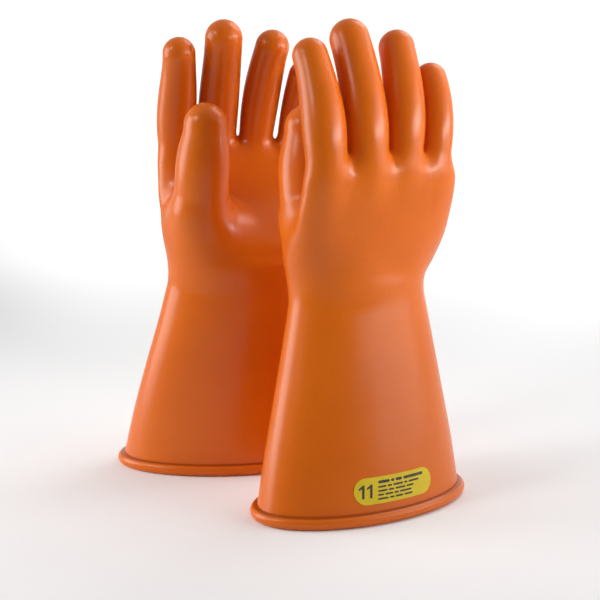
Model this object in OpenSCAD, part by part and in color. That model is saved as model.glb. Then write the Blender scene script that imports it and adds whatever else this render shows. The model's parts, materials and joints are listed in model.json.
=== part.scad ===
// A pair of electrical insulating gloves standing on their rolled cuffs, palms facing each other.
// Each glove is one dipped rubber shell, divided where it bends: wrist, knuckles and middle joints.
// All shapes are drawn for a right-hand glove with the thumb towards -X, the palm towards +Y and
// the fingers up. The left-hand glove is its mirror image, turned about Z and moved to its place.

/* [Rubber] */
// Thickness of the rubber wall
wall = 2; // [1.5:0.1:2.6]
// Gap left between sections that move against each other
joint_gap = 0.4; // [0.3:0.1:1]

/* [Cuff] */
// Half width of the cuff at the bead, along X
cuff_half_w = 86; // [80:1:92]
// Half depth of the cuff at the bead, along Y
cuff_half_d = 48; // [44:1:54]
// Radius of the rolled bead
bead_r = 4.5; // [3.5:0.1:5.5]

/* [Wrist] */
// Height of the wrist, the glove's narrowest place
wrist_z = 163; // [155:1:170]
// Half width of the wrist, along X
wrist_half_w = 54; // [50:1:58]
// Half depth of the wrist, along Y
wrist_half_d = 33; // [30:1:36]
// How far the wrist lies towards the little finger from the bead's centre
wrist_x = 9; // [5:1:11]
// How far the wrist lies towards the palm side from the bead's centre
wrist_y = 18.5; // [15:0.5:21]
// Half length of the stretch that bends at the wrist
wrist_bend = 16; // [14:1:18]

/* [Fingers] */
// Half length of the stretch that bends at each knuckle
knuckle_bend = 10; // [9:0.5:10]
// Half length of the stretch that bends at each middle joint
middle_bend = 11; // [10:0.5:11]
// Half length of the stretch that bends at the thumb's middle joint
thumb_middle_bend = 6.5; // [5:0.5:7.5]

/* [Label] */
// Length of the class label, round ends included
label_w = 68; // [50:1:72]
// Height of the class label
label_h = 19; // [15:1:22]
// Height of the label's middle above the ground
label_z = 24; // [22:1:30]
// Thickness of the label
label_t = 0.5; // [0.3:0.1:1]

/* [Pair] */
// Turn of the left-hand glove about Z
left_turn = -26; // [-30:1:-20]
// Place of the left-hand glove's bead centre from the right-hand one, along X
left_dx = -28; // [-36:1:-20]
// Place of the left-hand glove's bead centre from the right-hand one, along Y
left_dy = 149; // [145:1:160]

/* [Hidden] */
rubber_colour = [0.85, 0.42, 0.14];
bead_colour = [0.88, 0.46, 0.17];
label_colour = [0.83, 0.71, 0.2];
cuff_sides = 48;      // sides of the oval rings of the cuff, the wrist and the palm's foot
bead_sides = 12;      // sides of the bead's round section
finger_fn = 48;
hull_fn = 28;
dome_step = 11.25;    // angle between the steps of a fingertip's outline
overlap = 0.01;       // how far a cut runs past the solid it cuts
sheet = 0.5;          // thickness of the discs that the palm's hulls are stretched over
lip = 0.3;            // how much thicker the wall is where the palm opens into a finger
bead_z = bead_r * cos(180 / bead_sides);    // the bead stands on one narrow flat side
wrist_low = wrist_z - wrist_bend;
wrist_high = wrist_z + wrist_bend;

FINGERS = ["thumb", "index", "middle", "ring", "little"];
SIDES = ["right", "left"];

// A finger is given by three centres, the knuckle, the middle joint and the middle of the round
// tip, with the outer radius at each, and the half lengths of its two bends.
function finger(name) =
    name == "thumb" ? [[-20.5, 42, 241], [-18.7, 45, 264], [-18, 46, 277], 20.9, 18.8, 16.5,
                       knuckle_bend - 1, thumb_middle_bend] :
    name == "index" ? [[-38.5, -9, 272], [-37, -0.5, 300], [-36, 14, 329.5], 15.2, 14.9, 12.8,
                       knuckle_bend, middle_bend] :
    name == "middle" ? [[-5.5, -12.5, 274], [-3.5, -2.5, 306], [-1.5, 15.5, 341], 15.7, 15.6, 14.6,
                        knuckle_bend, middle_bend] :
    name == "ring" ? [[26.5, -14.5, 273], [30.5, -6.5, 303], [36.5, 10.5, 334.5], 14.6, 14.6, 13.3,
                      knuckle_bend, middle_bend] :
    [[55, -14, 268], [58.5, -8.5, 292], [62, 3, 312], 12.6, 12.4, 12,
     knuckle_bend - 1, middle_bend - 1];

function knuckle(f) = f[0];
function middle_joint(f) = f[1];
function tip_centre(f) = f[2];
function knuckle_r(f) = f[3];
function middle_r(f) = f[4];
function tip_r(f) = f[5];
function unit(v) = v / norm(v);
function base_way(f) = unit(middle_joint(f) - knuckle(f));
function tip_way(f) = unit(tip_centre(f) - middle_joint(f));
// Where each section of a finger ends, along its centre line
function knuckle_low(f) = knuckle(f) - f[6] * base_way(f);
function knuckle_high(f) = knuckle(f) + f[6] * base_way(f);
function middle_low(f) = middle_joint(f) - f[7] * base_way(f);
function middle_high(f) = middle_joint(f) + f[7] * tip_way(f);

// Outer half sizes and centre of the cuff's wall at height z: [half width, half depth, x, y]
function cuff_at(z) = let (t = (z - bead_z) / (wrist_z - bead_z))
    [cuff_half_w + t * (wrist_half_w - cuff_half_w),
     cuff_half_d + t * (wrist_half_d - cuff_half_d), t * wrist_x, t * wrist_y];

// An oval ring of points at height z, grown outwards by grow
function oval(size, z, grow = 0) = [for (i = [0 : cuff_sides - 1]) let (a = 360 * i / cuff_sides)
    [size[2] + (size[0] + grow) * cos(a), size[3] + (size[1] + grow) * sin(a), z]];

// The solid whose surface runs from ring to ring and back to the first one
module ring_loop(rings) {
    n = len(rings[0]);
    m = len(rings);
    polyhedron(
        points = [for (r = rings) each r],
        faces = [for (j = [0 : m - 1], i = [0 : n - 1])
            [j * n + i, ((j + 1) % m) * n + i, ((j + 1) % m) * n + (i + 1) % n, j * n + (i + 1) % n]],
        convexity = 4);
}

// An oval wall of the given thickness between two heights, following the cuff's taper
module oval_wall(low, high, grow = 0, thickness = wall) {
    ring_loop([oval(cuff_at(low), low, grow), oval(cuff_at(high), high, grow),
               oval(cuff_at(high), high, grow - thickness), oval(cuff_at(low), low, grow - thickness)]);
}

// Puts its children, which rise along Z from the origin, at a point and along a direction
module along(from, way) {
    translate(from)
        rotate([0, acos(way[2]), atan2(way[1], way[0])])
            children();
}

// A round bar or cone from one point to another
module bar(from, to, r1, r2) {
    along(from, unit(to - from))
        cylinder(h = norm(to - from), r1 = r1, r2 = r2, $fn = finger_fn);
}

// An open round tube from one point to another
module tube(from, to, r1, r2) {
    past = overlap * unit(to - from);
    difference() {
        bar(from, to, r1, r2);
        bar(from - past, to + past, r1 - wall, r2 - wall);
    }
}

// One of the oval rings of points along the corners of the bead's section, counted from its foot
function bead_ring(j) = let (a = -90 + 360 * (j + 0.5) / bead_sides)
    oval([cuff_half_w, cuff_half_d, 0, 0], bead_z + bead_r * sin(a), bead_r * cos(a));

module cuff_bead() {
    color(bead_colour) ring_loop([for (j = [0 : bead_sides - 1]) bead_ring(j)]);
}

// The cuff's wall stands on the bead's inner top face
module gauntlet() {
    high = cuff_at(wrist_low);
    color(rubber_colour)
        ring_loop([bead_ring(bead_sides / 2), oval(high, wrist_low), oval(high, wrist_low, -wall),
                   bead_ring(bead_sides / 2 + 1)]);
}

// The class label is a thin plate with round ends that follows the back of the cuff
module class_label() {
    seat = 0.05;
    color(label_colour) intersection() {
        oval_wall(2 * bead_z, wrist_low, label_t + seat, label_t);
        translate([0, 0, label_z]) rotate([90, 0, 0]) linear_extrude(height = 2 * cuff_half_d) {
            square([label_w - label_h, label_h], center = true);
            for (side = [-1, 1]) translate([side * (label_w - label_h) / 2, 0])
                circle(d = label_h, $fn = finger_fn);
        }
    }
}

module wrist_section() {
    color(rubber_colour) oval_wall(wrist_low, wrist_high - joint_gap);
}

// A flat oval disc used as a corner of the palm's hulls
module palm_oval(half_w, half_d, x, y, z) {
    translate([x, y, z]) linear_extrude(height = sheet)
        resize([2 * half_w, 2 * half_d]) circle(r = half_w, $fn = hull_fn);
}

// A thin disc across a finger's centre line, its upper face this far below the palm's end
module root_disc(f, below, inset) {
    along(knuckle_low(f) - (below + sheet) * base_way(f), base_way(f))
        cylinder(h = sheet, r = knuckle_r(f) - inset, $fn = hull_fn);
}

// The body of the hand from the wrist to the fingers' roots, with a web between each two of them,
// or its hollow where inset is the wall: the hollow runs out through the foot
module hand_block(inset = 0) {
    foot = cuff_at(wrist_high);
    for (name = ["index", "middle", "ring", "little"]) hull() {
        palm_oval(foot[0] - inset, foot[1] - inset, foot[2], foot[3], wrist_high - inset);
        palm_oval(57 - inset, 21 - inset, 11, -1, 215);
        root_disc(finger(name), inset, inset);
    }
}

// The ball of the thumb, from the wrist to the thumb's root, or its hollow
module thumb_block(inset = 0) {
    foot = cuff_at(wrist_high);
    hull() {
        palm_oval(30 - inset, 22 - inset, foot[2] - 20, foot[3] + 4, wrist_high - inset);
        palm_oval(23 - inset, 23 - inset, -23, 30, 205);
        root_disc(finger("thumb"), inset, inset);
    }
}

// The way through the web into a finger
module root_opening(f) {
    hull() {
        root_disc(f, 1.3 * wall, wall + lip);
        root_disc(f, -wall, wall + lip);
    }
}

module palm() {
    color(rubber_colour) difference() {
        union() {
            hand_block();
            thumb_block();
        }
        hand_block(wall);
        thumb_block(wall);
        for (name = FINGERS) root_opening(finger(name));
    }
}

// The stretch of a finger that bends at its knuckle
module knuckle_section(f) {
    color(rubber_colour)
        tube(knuckle_low(f) + joint_gap * base_way(f), knuckle_high(f), knuckle_r(f), knuckle_r(f));
}

module base_section(f) {
    color(rubber_colour)
        tube(knuckle_high(f), middle_low(f) - joint_gap * base_way(f), knuckle_r(f), middle_r(f));
}

// The stretch of a finger that bends at its middle joint: a piece of a ring, whose plane holds
// both directions of the finger and whose middle lies on the inside of the bend
module middle_section(f) {
    turn = acos(base_way(f) * tip_way(f));
    ring_r = f[7] / tan(turn / 2);
    up = unit(cross(base_way(f), tip_way(f)));
    out = cross(base_way(f), up);
    middle = middle_low(f) - ring_r * out;
    color(rubber_colour)
        multmatrix([for (i = [0 : 2]) [out[i], base_way(f)[i], up[i], middle[i]]])
            rotate_extrude(angle = turn, $fn = finger_fn)
                translate([ring_r, 0]) difference() {
                    circle(r = middle_r(f), $fn = finger_fn);
                    circle(r = middle_r(f) - wall, $fn = finger_fn);
                }
}

// Half the outline of a fingertip from its foot up and over its round end: [radius, height]
function tip_outline(r_foot, r_end, height) = concat([[r_foot, 0]],
    [for (a = [0 : dome_step : 90]) [r_end * cos(a), height + r_end * sin(a)]]);

module tip_section(f) {
    height = norm(tip_centre(f) - middle_high(f));
    inner = tip_outline(middle_r(f) - wall, tip_r(f) - wall, height);
    outer = tip_outline(middle_r(f), tip_r(f), height);
    color(rubber_colour) along(middle_high(f), tip_way(f))
        rotate_extrude($fn = finger_fn)
            polygon(concat(outer, [for (i = [len(inner) - 1 : -1 : 0]) inner[i]]));
}

// The pair's box runs over both beads, so its middle is worked out from them
function bead_reach(turn) = [
    norm([cuff_half_w * cos(turn), cuff_half_d * sin(turn)]) + bead_z,
    norm([cuff_half_w * sin(turn), cuff_half_d * cos(turn)]) + bead_z];
left_at = [left_dx, left_dy];
pair_low = [min(-bead_reach(0)[0], left_at[0] - bead_reach(left_turn)[0]), -bead_reach(0)[1]];
pair_high = [bead_reach(0)[0], left_at[1] + bead_reach(left_turn)[1]];
pair_middle = (pair_low + pair_high) / 2;

// Puts a right-hand piece in its glove's place
module place(side) {
    if (side == "right")
        translate([-pair_middle[0], -pair_middle[1], 0]) children();
    else
        translate([left_at[0] - pair_middle[0], left_at[1] - pair_middle[1], 0])
            rotate([0, 0, left_turn]) mirror([0, 1, 0]) children();
}

HAND_PARTS = ["cuff_bead", "gauntlet", "class_label", "wrist_section", "palm"];
FINGER_PARTS = ["knuckle", "base", "middle_joint", "tip"];

for (side = SIDES) place(side) {
    cuff_bead();
    gauntlet();
    class_label();
    wrist_section();
    palm();
    for (name = FINGERS) let (stem = str(side, "_", name), f = finger(name)) {
        knuckle_section(f);
        base_section(f);
        middle_section(f);
        tip_section(f);
    }
}
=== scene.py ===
"""Looks of a pair of electrical insulating gloves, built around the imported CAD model.

Each glove is one smooth dipped shell. It is described here as a distance field in the frame of
a right-hand glove (mm: thumb towards -X, palm towards +Y, fingers up, bead centre at the
origin), turned into a mesh once, and divided where the CAD model divides it. The left-hand
glove is its mirror image.
"""
import json
import math

import bmesh
import bpy
import numpy as np
import openvdb
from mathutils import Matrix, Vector


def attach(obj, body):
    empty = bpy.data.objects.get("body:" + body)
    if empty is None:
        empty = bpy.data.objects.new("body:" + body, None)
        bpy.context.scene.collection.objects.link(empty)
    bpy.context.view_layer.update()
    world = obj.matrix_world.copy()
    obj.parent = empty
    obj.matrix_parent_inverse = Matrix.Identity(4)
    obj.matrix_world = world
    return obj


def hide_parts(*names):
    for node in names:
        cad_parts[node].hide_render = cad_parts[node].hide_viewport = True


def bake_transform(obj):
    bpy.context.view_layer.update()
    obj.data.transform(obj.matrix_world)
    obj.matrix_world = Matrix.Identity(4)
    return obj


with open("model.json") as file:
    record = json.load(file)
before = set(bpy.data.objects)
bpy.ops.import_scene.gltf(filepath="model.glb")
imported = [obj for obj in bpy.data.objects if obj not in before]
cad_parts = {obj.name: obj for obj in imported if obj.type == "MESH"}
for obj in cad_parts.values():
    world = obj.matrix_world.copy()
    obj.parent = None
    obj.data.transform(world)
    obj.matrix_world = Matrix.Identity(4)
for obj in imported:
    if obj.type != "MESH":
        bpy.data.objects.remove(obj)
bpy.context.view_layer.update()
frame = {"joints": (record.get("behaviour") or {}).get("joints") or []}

# ---------------------------------------------------------------- camera
CAMERA_TURN = -32.7     # heading of the view about Z, in degrees
CAMERA_TILT = -10.9     # how far the view looks up, in degrees

cam_data = bpy.data.cameras.new("camera")
cam_data.lens = 84
cam_data.sensor_width = 36
camera = bpy.data.objects.new("camera", cam_data)
camera.location = (-0.5687, -0.8989, 0.347)
camera.rotation_euler = (math.radians(90 + CAMERA_TILT), 0, math.radians(CAMERA_TURN))
bpy.context.scene.collection.objects.link(camera)
bpy.context.scene.camera = camera

# ---------------------------------------------------------------- sizes, in mm
MM = 0.001
WALL = 2.0
BEAD_R = 4.5
BEAD_Z = BEAD_R * math.cos(math.radians(15))
CUFF_HALF_W, CUFF_HALF_D = 86.0, 48.0
WRIST = np.array([9.0, 18.5, 163.0])
WRIST_BEND = 16.0

# The cuff: height, half width, half depth, middle x, middle y
CUFF_STATIONS = [
    (-20, 90.6, 50.2, -0.8, -2.0),
    (4, 86.0, 48.0, 0.0, 0.0),
    (44, 78.9, 44.6, 1.9, 3.5),
    (84, 70.6, 40.6, 4.3, 8.3),
    (124, 62.2, 36.9, 7.3, 14.0),
    (163, 54.2, 33.2, 9.0, 18.5),
    (190, 48.5, 30.5, 10.0, 21.5),
]
CUFF_TOP = 170.0        # where the cuff's own shape ends, inside the hand
WEB_TOP = 261.0         # highest point of the hand's body, between the fingers
HAND_FROM = 140.0       # the hand's shape reaches no lower than this
DIGITS_FROM = 200.0     # no digit is divided below this height

# The hand: height, half width, half depth, middle x, middle y, squareness, lean
HAND_STATIONS = [
    (140, 44.0, 25.0, 8.0, 16.0, 2.0, 0.00),
    (152, 50.0, 29.5, 8.6, 17.5, 2.0, 0.00),
    (163, 53.7, 32.0, 9.6, 18.0, 2.0, 0.00),
    (179, 59.0, 30.5, 13.0, 15.5, 2.1, 0.01),
    (197, 62.5, 26.0, 12.3, 7.0, 2.2, 0.03),
    (215, 63.0, 20.5, 9.7, -2.5, 2.3, 0.05),
    (238, 62.2, 16.5, 8.8, -10.0, 2.5, 0.06),
    (262, 60.0, 12.5, 8.5, -14.0, 2.6, 0.06),
    (290, 60.0, 11.0, 9.0, -16.0, 2.6, 0.06),
]

# A digit: centres and radii from its root inside the hand to the middle of its round tip, then
# the middles and the half lengths of the two stretches that bend
DIGITS = {
    "thumb": {
        "line": [(-10, 20, 176, 26), (-20, 32, 206, 24), (-20.5, 42, 241, 20.9),
                 (-18.7, 45, 264, 18.6), (-18, 46, 277, 16.5)],
        "bends": [((-20.5, 42, 241), 9.0), ((-18.7, 45, 264), 6.5)],
    },
    "index": {
        "line": [(-35, -4, 226, 12), (-38.5, -9, 272, 15.4), (-37, -0.5, 300, 14.9),
                 (-36, 14, 329.5, 12.8)],
        "bends": [((-38.5, -9, 272), 10.0), ((-37, -0.5, 300), 11.0)],
    },
    "middle": {
        "line": [(-4, -6, 226, 12.5), (-5.5, -12.5, 274, 15.7), (-3.5, -2.5, 306, 15.6),
                 (-1.5, 15.5, 341, 14.6)],
        "bends": [((-5.5, -12.5, 274), 10.0), ((-3.5, -2.5, 306), 11.0)],
    },
    "ring": {
        "line": [(22, -8, 226, 11.5), (26.5, -14.5, 273, 14.1), (30.5, -6.5, 303, 14.6),
                 (36.5, 10.5, 334.5, 13.3)],
        "bends": [((26.5, -14.5, 273), 10.0), ((30.5, -6.5, 303), 11.0)],
    },
    "little": {
        "line": [(49, -9, 226, 10.5), (55.2, -14, 268, 11.9), (58.7, -8.5, 292, 12.2),
                 (62, 3, 312, 12)],
        "bends": [((55.2, -14, 268), 9.0), ((58.7, -8.5, 292), 10.0)],
    },
}

# The web between the thumb and the index side of the palm, as centres and radii
WEB = [(-31, 3, 208, 10), (-33, 18, 214, 9.5), (-27, 35, 218, 13)]

# How widely two parts of the shell run into each other, in mm
FINGER_JOIN = 1.2           # finger and finger: small, so that their narrow gaps stay open
HAND_JOIN = 7.0             # hand and fingers, and cuff and hand
WEB_JOIN = 14.0             # hand and thumb web
THUMB_JOIN_HIGH = 5.0       # hand and thumb where the thumb leaves the palm
THUMB_JOIN_LOW = 25.0       # and lower, where it swells the palm

GRID = 1.5    # spacing of the grid that the shell is first meshed on
GRID_LOW = np.array([-100.0, -62.0, -2.0])
GRID_HIGH = np.array([100.0, 74.0, 364.0])


# ---------------------------------------------------------------- the shell as a distance field
def smooth_min(a, b, k):
    """The smaller of two distances, rounded over where they differ by less than k."""
    h = np.maximum(k - np.abs(a - b), 0.0) / k
    return np.minimum(a, b) - h * h * k / 4


def smooth_max(a, b, k):
    return -smooth_min(-a, -b, k)


def profile(stations):
    """A smooth curve of several values through stations (height, value, value, ...)."""
    table = np.array(stations, float)
    z, values = table[:, 0], table[:, 1:]
    slopes = np.gradient(values, z, axis=0)

    def at(height):
        i = np.clip(np.searchsorted(z, height) - 1, 0, len(z) - 2)
        step = z[i + 1] - z[i]
        t = np.clip((height - z[i]) / step, 0, 1)[:, None]
        step = step[:, None]
        found = (values[i] * (1 + 2 * t) * (1 - t) ** 2 + slopes[i] * step * t * (1 - t) ** 2
                 + values[i + 1] * t * t * (3 - 2 * t) + slopes[i + 1] * step * t * t * (t - 1))
        return found.T

    return at


def oval_distance(x, y, half_w, half_d, power=2.0):
    """About how far a point is outside an oval, which is squarer as power goes above 2."""
    u, v = np.abs(x / half_w), np.abs(y / half_d)
    k = np.maximum((u ** power + v ** power) ** (1 / power), 1e-6)
    slope = np.hypot((u / k) ** (power - 1) / half_w, (v / k) ** (power - 1) / half_d)
    return (k - 1) / np.maximum(slope, 1 / half_w)


class Digit:
    """A round tube of varying radius along a smooth line, with a round end."""

    def __init__(self, line):
        line = np.array(line, float)
        steps = np.linalg.norm(np.diff(line[:, :3], axis=0), axis=1)
        t = np.concatenate([[0], np.cumsum(steps)]) / steps.sum()
        self.low, self.high = line[0, :3], line[-1, :3]
        self.way = np.polyfit(t, line[:, :3], len(t) - 1)
        self.speed = np.array([np.polyder(c) for c in self.way.T]).T
        # the radius starts and ends level, so that neither end joins with a crease
        n = len(t) + 2
        rows = [[s ** (n - 1 - i) for i in range(n)] for s in t]
        rows += [[(n - 1 - i) * s ** max(n - 2 - i, 0) for i in range(n)] for s in (0.0, 1.0)]
        self.radius = np.linalg.solve(np.array(rows, float), np.append(line[:, 3], [0.0, 0.0]))

    def at(self, t):
        return np.stack([np.polyval(c, t) for c in self.way.T], axis=1)

    def distance(self, p):
        chord = self.high - self.low
        t = np.clip((p - self.low) @ chord / (chord @ chord), 0, 1)
        for _ in range(5):
            speed = np.stack([np.polyval(c, t) for c in self.speed.T], axis=1)
            off = p - self.at(t)
            t = np.clip(t + (off * speed).sum(1) / (speed * speed).sum(1), 0, 1)
        return np.linalg.norm(p - self.at(t), axis=1) - np.polyval(self.radius, t)


cuff_profile = profile(CUFF_STATIONS)
hand_profile = profile(HAND_STATIONS)
digits = {name: Digit(d["line"]) for name, d in DIGITS.items()}
thumb_web = Digit(WEB)


def ramp(value, start, end):
    """0 at start and 1 at end, level at both."""
    t = np.clip((value - start) / (end - start), 0, 1)
    return t * t * (3 - 2 * t)


def cuff_distance(p):
    half_w, half_d, x, y = cuff_profile(p[:, 2])
    d = oval_distance(p[:, 0] - x, p[:, 1] - y, half_w, half_d)
    return smooth_max(d, p[:, 2] - CUFF_TOP, 8.0)


def hand_distance(p):
    """The body of the hand without its digits: its top follows the webs between the fingers."""
    half_w, half_d, x, y, power, lean = hand_profile(p[:, 2])
    side = p[:, 0] - x
    d = oval_distance(side, p[:, 1] - y + lean * side, half_w, half_d, power)
    top = WEB_TOP - 0.0012 * (p[:, 0] - 4.0) ** 2
    d = smooth_max(d, p[:, 2] - top, 16.0)
    return smooth_max(d, 150.0 - p[:, 2], 12.0)


def part_distances(p):
    """Distances to the body of the hand and to each digit, one row each."""
    return np.stack([hand_distance(p)] + [digits[name].distance(p) for name in DIGITS])


def glove_distance(p):
    """Distance to the outside of a whole glove, without its bead."""
    d = cuff_distance(p)
    high = p[:, 2] > HAND_FROM
    if high.any():
        q = p[high]
        parts = part_distances(q)
        hand, thumb = parts[0], parts[1]
        fingers = parts[2]
        for row in parts[3:]:
            fingers = smooth_min(fingers, row, FINGER_JOIN)
        hand = smooth_min(hand, fingers, HAND_JOIN)
        hand = smooth_min(hand, thumb_web.distance(q), WEB_JOIN)
        thumb_join = (THUMB_JOIN_HIGH
                      + (THUMB_JOIN_LOW - THUMB_JOIN_HIGH) * ramp(q[:, 2], 232.0, 195.0))
        hand = smooth_min(hand, thumb, thumb_join)
        d[high] = smooth_min(d[high], hand, HAND_JOIN)
    return d


def gradient(field, p, step=0.05):
    """Slope of a field at points, from differences over step mm."""
    out = np.empty_like(p)
    for axis in range(3):
        shift = np.zeros(3)
        shift[axis] = step
        out[:, axis] = (field(p + shift) - field(p - shift)) / (2 * step)
    return out


def settled(field, p, rounds=3):
    """Points moved onto the surface of a field."""
    for _ in range(rounds):
        slope = gradient(field, p)
        p = p - slope * (field(p) / np.maximum((slope * slope).sum(1), 0.05))[:, None]
    return p


def normals(field, p):
    slope = gradient(field, p)
    return slope / np.linalg.norm(slope, axis=1)[:, None]


def shell_mesh():
    """The outside of a glove as a bmesh, in mm."""
    band = 4.0      # the field is only needed this near to the surface
    sizes = np.ceil((GRID_HIGH - GRID_LOW) / GRID).astype(int)
    axes = [GRID_LOW[i] + GRID * np.arange(sizes[i]) for i in range(3)]
    points = np.stack(np.meshgrid(*axes, indexing="ij"), axis=-1)
    values = np.clip(glove_distance(points.reshape(-1, 3)), -band, band).reshape(sizes)
    grid = openvdb.FloatGrid(band)
    grid.copyFromArray(values.astype(np.float32))
    found, quads = grid.convertToQuads(isovalue=0.0)
    found = settled(glove_distance, found.astype(float) * GRID + GRID_LOW)
    bm = bmesh.new()
    verts = [bm.verts.new(v) for v in found]
    for quad in quads:
        bm.faces.new([verts[i] for i in quad])
    bm.normal_update()
    return bm


# ---------------------------------------------------------------- where the shell is divided
CUT_REACH = 4.0     # only faces this near to a cut are cut
CUT_SNAP = 0.12     # corners this near to a cut move onto it


def unit(v):
    return v / np.linalg.norm(v)


def bend_planes(name):
    """Start and end of a digit's two bends, along its line: [(start, end), (start, end)]."""
    (knuckle, half), (middle, middle_half) = DIGITS[name]["bends"]
    knuckle, middle = np.array(knuckle, float), np.array(middle, float)
    tip = np.array(DIGITS[name]["line"][-1][:3], float)
    base_way, tip_way = unit(middle - knuckle), unit(tip - middle)
    return [(knuckle - half * base_way, knuckle + half * base_way),
            (middle - middle_half * base_way, middle + middle_half * tip_way)]


PLANES = {name: bend_planes(name) for name in DIGITS}
WRIST_SPAN = (WRIST - [0, 0, WRIST_BEND], WRIST + [0, 0, WRIST_BEND])


def past(points, span):
    """How far points lie past the start of a bend, in mm."""
    start, end = span
    return (points - start) @ unit(end - start)


def divide(bm):
    """Cuts the shell's faces along the start of each bend and drops what is below the bead."""
    everything = list(bm.verts) + list(bm.edges) + list(bm.faces)
    bmesh.ops.bisect_plane(bm, geom=everything, dist=CUT_SNAP, plane_co=(0, 0, BEAD_Z),
                           plane_no=(0, 0, 1), clear_inner=True)
    low = WRIST_SPAN[0]
    near = [f for f in bm.faces if abs(f.calc_center_median().z - low[2]) < CUT_REACH]
    cut_near(bm, near, low, (0, 0, 1))
    for number, name in enumerate(DIGITS):
        for span in PLANES[name]:
            faces = [f for f in bm.faces if f.calc_center_median().z > DIGITS_FROM]
            centres = np.array([f.calc_center_median() for f in faces])
            part = part_distances(centres)[1:].argmin(0) == number
            close = np.abs(past(centres, span)) < CUT_REACH
            start, end = span
            chosen = [f for f, keep in zip(faces, part & close) if keep]
            cut_near(bm, chosen, start, unit(end - start))


def cut_near(bm, faces, point, way):
    """Cuts only these faces along a plane."""
    edges = {e for f in faces for e in f.edges}
    verts = {v for f in faces for v in f.verts}
    bmesh.ops.bisect_plane(bm, geom=list(verts) + list(edges) + faces, dist=CUT_SNAP,
                           plane_co=tuple(point), plane_no=tuple(way))


def face_pieces(centres):
    """Name of the piece that each face belongs to."""
    names = np.full(len(centres), "hand", dtype=object)
    names[centres[:, 2] < WRIST_SPAN[0][2]] = "gauntlet"
    high = np.flatnonzero(centres[:, 2] > DIGITS_FROM)
    owner = part_distances(centres[high]).argmin(0)
    for number, name in enumerate(DIGITS, start=1):
        mine = high[owner == number]
        names[mine[past(centres[mine], PLANES[name][0]) > 0]] = name + "_lower"
        names[mine[past(centres[mine], PLANES[name][1]) > 0]] = name + "_end"
    return names


def shell_pieces():
    """Outer points, their normals, and the outer faces of each piece."""
    bm = shell_mesh()
    divide(bm)
    bm.verts.index_update()
    points = np.array([v.co for v in bm.verts])
    faces = [[v.index for v in f.verts] for f in bm.faces]
    centres = np.array([f.calc_center_median() for f in bm.faces])
    bm.free()
    return points, normals(glove_distance, points), faces, face_pieces(centres)


# ---------------------------------------------------------------- pieces in the row frame
def joint(name):
    return next(j for j in frame["joints"] if j["name"] == name)


class Place:
    """Where one glove stands: found from its wrist joint, whose local place is known."""

    def __init__(self, side):
        wrist = joint(side + "_wrist_bend")
        self.flip = -1.0 if side == "left" else 1.0
        axis = np.array(wrist["axis"]) * self.flip
        turn = math.atan2(-axis[1], -axis[0])
        c, s = math.cos(turn), math.sin(turn)
        self.turn = np.array([[c, -s * self.flip, 0], [s, c * self.flip, 0], [0, 0, 1]])
        self.shift = np.array(wrist["pos_m"]) - self.turn @ WRIST * MM

    def point(self, p):
        return np.asarray(p, float) @ self.turn.T * MM + self.shift

    def way(self, v):
        return np.asarray(v, float) @ self.turn.T

    def wind(self, faces):
        """Faces turned round on the mirrored glove, so that they still face out."""
        return [face[::-1] for face in faces] if self.flip < 0 else faces


def new_piece(name, points, faces, local, material, vertex_normals=None):
    """A mesh object in the row frame. local is each point's place in its own glove's frame, in
    metres, which the materials are drawn in."""
    mesh = bpy.data.meshes.new(name)
    mesh.from_pydata(points, [], faces)
    rest = mesh.attributes.new("rest", "FLOAT_VECTOR", "POINT")
    rest.data.foreach_set("vector", np.asarray(local, np.float32).ravel())
    mesh.shade_smooth()
    if vertex_normals is not None:
        mesh.normals_split_custom_set_from_vertices(vertex_normals)
    mesh.materials.append(material)
    piece = bpy.data.objects.new(name, mesh)
    bpy.context.scene.collection.objects.link(piece)
    return piece


def open_edges(faces):
    """The edges that only one face uses, each in that face's direction."""
    edges = {}
    for face in faces:
        for a, b in zip(face, face[1:] + face[:1]):
            if (b, a) in edges:
                del edges[(b, a)]
            else:
                edges[(a, b)] = True
    return list(edges)


def hollow(points, ways, faces):
    """Adds the inside of the wall and the rims to a piece of the shell's outside."""
    used = sorted({i for f in faces for i in f})
    number = {old: new for new, old in enumerate(used)}
    outer = [[number[i] for i in f] for f in faces]
    n = len(used)
    inner = [[i + n for i in reversed(f)] for f in outer]
    rims = [[b, a, a + n, b + n] for a, b in open_edges(outer)]
    p, w = points[used], ways[used]
    return np.vstack([p, p - w * WALL]), np.vstack([w, -w]), outer + inner + rims


def build_shell(side, place, shell, material):
    """The dipped rubber of one glove: gauntlet, hand and two pieces for each digit."""
    points, ways, faces, names = shell
    pieces = {}
    for piece_name in sorted(set(names)):
        chosen = [f for f, n in zip(faces, names) if n == piece_name]
        p, w, f = hollow(points, ways, chosen)
        pieces[piece_name] = new_piece(f"{side}_{piece_name}_rubber", place.point(p),
                                       place.wind(f), p * MM, material, place.way(w))
    gauntlet = pieces["gauntlet"]
    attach(gauntlet, side + "_cuff")
    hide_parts(side + "_gauntlet")
    hand = pieces["hand"]
    place.point(WRIST_SPAN[0])
    place.point(WRIST_SPAN[1])
    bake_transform(hand)
    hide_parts(side + "_wrist_section", side + "_palm")
    for name in DIGITS:
        stem = f"{side}_{name}"
        (low, high), (middle_low, middle_high) = PLANES[name]
        lower, end = pieces[name + "_lower"], pieces[name + "_end"]
        place.point(low)
        place.point(high)
        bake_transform(lower)
        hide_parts(stem + "_knuckle", stem + "_base")
        place.point(middle_low)
        place.point(middle_high)
        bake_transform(end)
        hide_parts(stem + "_middle_joint", stem + "_tip")


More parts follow.
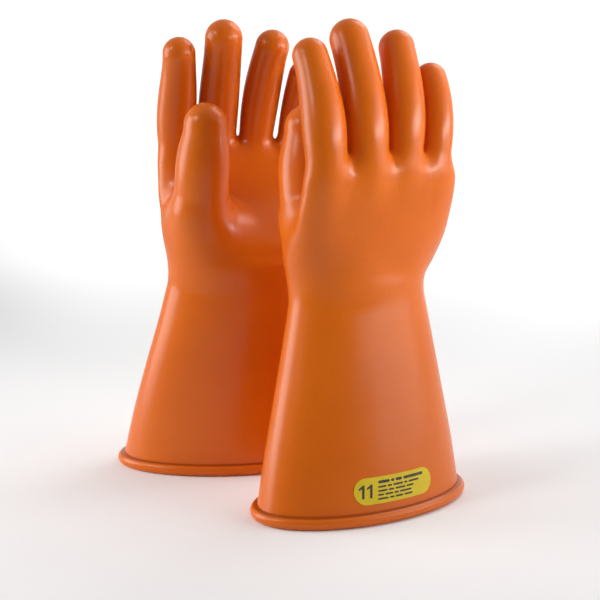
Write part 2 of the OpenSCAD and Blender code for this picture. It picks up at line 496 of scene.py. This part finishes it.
def build_bead(side, place, material):
    """The rolled edge of the cuff: a ring whose section is a roll, flat where it stands."""
    around, section = 240, 28
    points, ways = [], []
    for i in range(around):
        a = 2 * math.pi * i / around
        c, s = math.cos(a), math.sin(a)
        out = unit(np.array([c / CUFF_HALF_W, s / CUFF_HALF_D, 0.0]))
        centre = np.array([CUFF_HALF_W * c, CUFF_HALF_D * s, BEAD_Z])
        for j in range(section):
            b = 2 * math.pi * j / section
            rise = math.sin(b)
            way = out * math.cos(b) + np.array([0, 0, rise])
            reach = BEAD_R if rise >= 0 else min(BEAD_R, BEAD_Z / -rise)
            points.append(centre + way * reach)
            ways.append(way)
    faces = [[i * section + j, ((i + 1) % around) * section + j,
              ((i + 1) % around) * section + (j + 1) % section, i * section + (j + 1) % section]
             for i in range(around) for j in range(section)]
    points = np.array(points)
    bead = new_piece(side + "_bead_roll", place.point(points), place.wind(faces), points * MM,
                     material, place.way(ways))
    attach(bead, side + "_cuff")
    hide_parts(side + "_cuff_bead")


# ---------------------------------------------------------------- the class label
LABEL_W, LABEL_H, LABEL_Z = 68.0, 19.0, 24.0
LABEL_LIFT = 0.02       # how far the label's underside is off the rubber
LABEL_T = 0.5
PRINT_T = 0.06
STRIP = 2.0             # width of the strips that a flat shape is cut into to follow the cuff

# Plain bars stand for the lines of small print: height, thickness, lengths of the bars
PRINT_LINES = (
    (5.6, 2.1, (10, 3, 6, 19)),
    (2.2, 1.4, (7, 4, 9, 3, 10)),
    (-0.7, 1.3, (8, 5, 9, 7)),
    (-3.5, 1.3, (5, 7, 4, 11)),
    (-6.3, 1.3, (9, 4, 7, 8)),
)
PRINT_START = -15.5     # where a line of small print starts along the label
PRINT_GAP = 0.9         # gap between the bars of a line


def on_cuff(u, v, out):
    """A point u mm along the back of the cuff from its middle, v mm above the label's middle and
    out mm off the rubber."""
    z = LABEL_Z + np.asarray(v, float)
    half_w, half_d, x, y = cuff_profile(z)
    p = np.stack([np.asarray(u, float), y - half_d, z], axis=1)
    side = (p[:, 0] - x) / half_w
    p[:, 1] = y - half_d * np.sqrt(1 - side * side)
    return p + normals(cuff_distance, p) * out


def plate(side, place, name, outlines, out, thick, material):
    """Flat shapes laid on the cuff: each outline is a ring of (u, v) points."""
    points, faces = [], []
    for ring in outlines:
        ring = np.array(ring, float)
        bm = bmesh.new()
        bm.faces.new([bm.verts.new((u, v, 0)) for u, v in ring])
        for cut in np.arange((STRIP - LABEL_W) / 2, LABEL_W / 2, STRIP):
            bmesh.ops.bisect_plane(bm, geom=list(bm.verts) + list(bm.edges) + list(bm.faces),
                                   plane_co=(cut, 0, 0), plane_no=(1, 0, 0), dist=1e-4)
        bm.verts.index_update()
        flat = np.array([v.co[:2] for v in bm.verts])
        tops = [[v.index for v in f.verts] for f in bm.faces]
        bm.free()
        n, base = len(flat), len(points)
        low = on_cuff(flat[:, 0], flat[:, 1], out)
        high = on_cuff(flat[:, 0], flat[:, 1], out + thick)
        points.extend(np.vstack([high, low]))
        faces += [[base + i for i in f] for f in tops]
        faces += [[base + n + i for i in reversed(f)] for f in tops]
        faces += [[base + b, base + a, base + n + a, base + n + b] for a, b in open_edges(tops)]
    points = np.array(points)
    piece = new_piece(f"{side}_{name}", place.point(points), place.wind(faces), points * MM,
                      material)
    edge = piece.modifiers.new("edges", "EDGE_SPLIT")
    edge.split_angle = math.radians(40)
    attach(piece, side + "_cuff")
    return piece


def round_bar(u, v, w, h, steps=10):
    """Outline of a bar with round ends, in label coordinates."""
    r = h / 2
    ring = []
    for end, start in ((1, -90), (-1, 90)):
        for i in range(steps + 1):
            a = math.radians(start + 180 * i / steps)
            ring.append((u + end * (w / 2 - r) + r * math.cos(a), v + r * math.sin(a)))
    return ring


def digit_one(u, v, h, slant):
    """Outline of a figure one with a flag, h mm tall."""
    t = 0.2 * h
    shape = [(0, 0), (t, 0), (t, h), (0.35 * t, h), (-1.25 * t, h - 1.1 * t),
             (-1.25 * t, h - 1.9 * t), (0, h - 1.25 * t)]
    return [(u + x + slant * y, v + y) for x, y in shape]


def build_label(side, place, label, printed):
    """The yellow class label with its size figure and the lines of small print."""
    face = plate(side, place, "label_plate", [round_bar(0, 0, LABEL_W, LABEL_H, 16)],
                 LABEL_LIFT, LABEL_T, label)
    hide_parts(side + "_class_label")
    marks = [digit_one(u, -4.9, 9.6, 0.1) for u in (-28.5, -22.3)]
    for v, h, lengths in PRINT_LINES:
        u = PRINT_START + 0.1 * v       # the lines lean like the figures
        for length in lengths:
            marks.append(round_bar(u + length / 2, v, length, h, 3))
            u += length + PRINT_GAP
    if place.flip < 0:      # a mirrored glove still carries print that reads the right way round
        marks = [[(-u, v) for u, v in reversed(ring)] for ring in marks]
    plate(side, place, "label_print", marks, LABEL_T, PRINT_T, printed)


# ---------------------------------------------------------------- materials
GROOVE_SHADE_Z = 8.6      # height of the groove between the rolled bead and the gauntlet, where shade is painted into the colour


def node(tree, kind, inputs=None, **settings):
    """A shader node with its settings and input values, or links given as sockets."""
    made = tree.nodes.new(kind)
    for key, value in settings.items():
        setattr(made, key, value)
    for key, value in (inputs or {}).items():
        if isinstance(value, bpy.types.NodeSocket):
            tree.links.new(value, made.inputs[key])
        else:
            made.inputs[key].default_value = value
    return made


def noise(tree, place, scale, detail=3.0, roughness=0.55):
    """Noise of scale spots to the metre."""
    return node(tree, "ShaderNodeTexNoise", {"Vector": place, "Scale": scale, "Detail": detail,
                                            "Roughness": roughness}).outputs["Fac"]


def spread(tree, value, low, high, out_low, out_high):
    """A value carried from the range low..high to out_low..out_high, and kept inside it."""
    return node(tree, "ShaderNodeMapRange", {"Value": value, "From Min": low, "From Max": high,
                                            "To Min": out_low, "To Max": out_high}).outputs[0]


def smooth_spread(tree, value, low, high, out_low, out_high):
    """The same, level at both ends."""
    made = spread(tree, value, low, high, out_low, out_high)
    made.node.interpolation_type = "SMOOTHSTEP"
    return made


def tint(tree, factor, a, b):
    """Colour a where the factor is 0, and b where it is 1."""
    mix = node(tree, "ShaderNodeMix", data_type="RGBA")
    sockets = [s for s in mix.inputs if s.enabled]
    for socket, value in zip(sockets, (factor, a, b)):
        if isinstance(value, bpy.types.NodeSocket):
            tree.links.new(value, socket)
        else:
            socket.default_value = value if isinstance(value, float) else (*value, 1.0)
    return next(s for s in mix.outputs if s.enabled)


def start_material(name, roughness, **sockets):
    """A plain material, its tree and shader, and the place in the glove it is drawn in."""
    material = bpy.data.materials.new(name)
    material.use_nodes = True
    tree = material.node_tree
    shader = tree.nodes["Principled BSDF"]
    shader.inputs["Roughness"].default_value = roughness
    for key, value in sockets.items():
        shader.inputs[key.replace("_", " ")].default_value = value
    place = node(tree, "ShaderNodeAttribute", attribute_name="rest").outputs["Vector"]
    return material, tree, shader, place


def rubber_material():
    """Smooth dipped rubber; painted shade darkens the gauntlet's groove at the rolled bead."""
    material, tree, shader, place = start_material(
        "orange_rubber", 0.42, Coat_Weight=0.6, Coat_Roughness=0.26, IOR=1.45,
        Specular_IOR_Level=0.06)
    broad = noise(tree, place, 14.0, 2.0)
    fine = noise(tree, place, 420.0, 3.0)
    colour = tint(tree, spread(tree, broad, 0.35, 0.65, 0.0, 1.0),
                  (0.66, 0.124, 0.0012), (0.71, 0.140, 0.002))
    colour = tint(tree, spread(tree, fine, 0.35, 0.7, 0.0, 0.12), colour, (0.53, 0.09, 0.0012))
    # painted shade: a dark brown band (0.34, 0.056, 0.001) is mixed into the colour in the groove
    # just above the bead
    up = node(tree, "ShaderNodeSeparateXYZ", {0: place}).outputs["Z"]
    groove = [spread(tree, up, GROOVE_SHADE_Z * MM, (GROOVE_SHADE_Z + step) * MM, 1.0, 0.0)
              for step in (-0.8, 1.0)]
    groove_shade = node(tree, "ShaderNodeMath", {0: groove[0], 1: groove[1]},
                 operation="MULTIPLY").outputs[0]
    colour = tint(tree, groove_shade, colour, (0.34, 0.056, 0.001))
    tree.links.new(colour, shader.inputs["Base Color"])
    tree.links.new(spread(tree, fine, 0.3, 0.7, 0.37, 0.47), shader.inputs["Roughness"])
    wave = noise(tree, place, 30.0, 1.0)
    bump = node(tree, "ShaderNodeBump", {"Height": wave, "Strength": 0.25, "Distance": 0.0006})
    grain = node(tree, "ShaderNodeBump", {"Height": fine, "Strength": 0.2, "Distance": 0.00006,
                                         "Normal": bump.outputs["Normal"]})
    tree.links.new(grain.outputs["Normal"], shader.inputs["Normal"])
    return material


def label_material():
    """Yellow printed film, a little uneven."""
    material, tree, shader, place = start_material("yellow_label", 0.45,
                                                   Specular_IOR_Level=0.3)
    worn = noise(tree, place, 160.0)
    colour = tint(tree, spread(tree, worn, 0.35, 0.7, 0.0, 1.0),
                  (0.72, 0.54, 0.012), (0.65, 0.47, 0.012))
    tree.links.new(colour, shader.inputs["Base Color"])
    bump = node(tree, "ShaderNodeBump", {"Height": worn, "Strength": 0.1, "Distance": 0.0002})
    tree.links.new(bump.outputs["Normal"], shader.inputs["Normal"])
    return material


def print_material():
    """Black ink, thin in places."""
    material, tree, shader, place = start_material("black_print", 0.5)
    worn = noise(tree, place, 900.0)
    colour = tint(tree, spread(tree, worn, 0.4, 0.75, 0.0, 1.0),
                  (0.018, 0.016, 0.012), (0.09, 0.07, 0.02))
    tree.links.new(colour, shader.inputs["Base Color"])
    return material


# ---------------------------------------------------------------- the gloves
rubber = rubber_material()
label_yellow = label_material()
label_black = print_material()
shell = shell_pieces()
for side in ("right", "left"):
    place = Place(side)
    build_shell(side, place, shell, rubber)
    build_bead(side, place, rubber)
    build_label(side, place, label_yellow, label_black)


# ---------------------------------------------------------------- studio
FRONT_LEVEL = 0.14      # brightness of the room where the pair is looked at from
SIDE_LEVEL = 0.5        # and beside and behind the pair
BACK_EXTRA = 0.6        # what is added right behind it, which makes it white
RIGHT_GAIN = 1.8        # how many times brighter it is on the right
FLOOR_HALF = 40.0       # metres
FLOOR_PALE = 0.9
FADE_FROM, FADE_TO = 0.3, 1.2       # the floor fades into the room between these distances


def around_object(azimuth, distance, height):
    """A place round the pair: azimuth is measured from the camera's side, to its right."""
    heading = math.radians(CAMERA_TURN + 180 + azimuth)
    return (-math.sin(heading) * distance, math.cos(heading) * distance, height)


def room_level(tree, way):
    """Brightness of the room in a direction: dim where the pair is looked at from, white right
    behind it, and brighter on its right than on its left."""
    front = Vector(around_object(-5, 1.0, 0.0))
    right = Vector(around_object(85, 1.0, 0.0))
    toward = node(tree, "ShaderNodeVectorMath", {0: way, 1: front},
                  operation="DOT_PRODUCT").outputs["Value"]
    aside = node(tree, "ShaderNodeVectorMath", {0: way, 1: right},
                 operation="DOT_PRODUCT").outputs["Value"]
    sides = smooth_spread(tree, toward, 0.0, 0.75, SIDE_LEVEL, FRONT_LEVEL)
    more = smooth_spread(tree, aside, 0.0, 1.0, 1.0, RIGHT_GAIN)
    back = smooth_spread(tree, toward, -0.95, -0.75, BACK_EXTRA, 0.0)
    sides = node(tree, "ShaderNodeMath", {0: sides, 1: more}, operation="MULTIPLY").outputs[0]
    return node(tree, "ShaderNodeMath", {0: sides, 1: back}, operation="ADD").outputs[0]


def studio_world():
    """A white room, lit by room_level."""
    world = bpy.data.worlds.new("studio")
    world.use_nodes = True
    tree = world.node_tree
    way = node(tree, "ShaderNodeTexCoord").outputs["Generated"]
    tree.links.new(room_level(tree, way), tree.nodes["Background"].inputs["Strength"])
    tree.nodes["Background"].inputs["Color"].default_value = (1, 1, 1, 1)
    bpy.context.scene.world = world


def floor():
    """A pale floor that fades into the room, so that no horizon shows."""
    half = FLOOR_HALF
    mesh = bpy.data.meshes.new("floor")
    mesh.from_pydata([(-half, -half, 0), (half, -half, 0), (half, half, 0), (-half, half, 0)],
                     [], [(0, 1, 2, 3)])
    material = bpy.data.materials.new("pale_floor")
    material.use_nodes = True
    tree = material.node_tree
    shader = tree.nodes["Principled BSDF"]
    shader.inputs["Base Color"].default_value = (FLOOR_PALE, FLOOR_PALE, FLOOR_PALE, 1)
    shader.inputs["Roughness"].default_value = 0.9
    place = node(tree, "ShaderNodeTexCoord").outputs["Object"]
    away = node(tree, "ShaderNodeVectorMath", {0: place}, operation="NORMALIZE").outputs[0]
    far = node(tree, "ShaderNodeVectorMath", {0: place}, operation="LENGTH").outputs["Value"]
    fade = smooth_spread(tree, far, FADE_FROM, FADE_TO, 0.0, 1.0)
    glow = node(tree, "ShaderNodeEmission", {"Strength": room_level(tree, away)})
    mixed = node(tree, "ShaderNodeMixShader", {0: fade, 1: shader.outputs[0],
                                              2: glow.outputs[0]})
    tree.links.new(mixed.outputs[0], tree.nodes["Material Output"].inputs["Surface"])
    mesh.materials.append(material)
    piece = bpy.data.objects.new("floor", mesh)
    bpy.context.scene.collection.objects.link(piece)


def softbox(name, place, aim, width, height, power, fan=180):
    """A rectangular lamp turned to its aim. fan is the angle in degrees that its light fills."""
    data = bpy.data.lights.new(name, "AREA")
    data.shape = "RECTANGLE"
    data.size, data.size_y = width, height
    data.energy = power
    data.spread = math.radians(fan)
    lamp = bpy.data.objects.new(name, data)
    lamp.location = place
    lamp.rotation_euler = (Vector(aim) - Vector(place)).to_track_quat("-Z", "Y").to_euler()
    bpy.context.scene.collection.objects.link(lamp)


studio_world()
floor()

CUFFS, MIDDLE, FINGERS = (0, 0, 0.05), (0, 0, 0.18), (0, 0, 0.29)   # what the lamps aim at

# broad lamps on both sides and one high up behind them
softbox("left_box", around_object(-94, 1.3, 0.42), MIDDLE, 0.8, 0.9, 12)
softbox("right_box", around_object(75, 1.4, 0.55), MIDDLE, 1.2, 1.0, 6.5)
softbox("high_box", around_object(130, 0.9, 1.2), MIDDLE, 0.8, 0.8, 6)

# small lamps in a row that draw bright lines down the right of the fingers and leave the cuffs be
for count, azimuth in enumerate((48, 66, 84)):
    softbox(f"finger_box_{count}", around_object(azimuth, 1.1, 0.48), FINGERS,
            0.3, 0.13, 0.075, 30)

# and one that lights the cuffs alone
softbox("cuff_box", around_object(-60, 0.9, 0.7), CUFFS, 0.4, 0.4, 0.2, 34)

bpy.context.scene.view_settings.view_transform = "Standard"
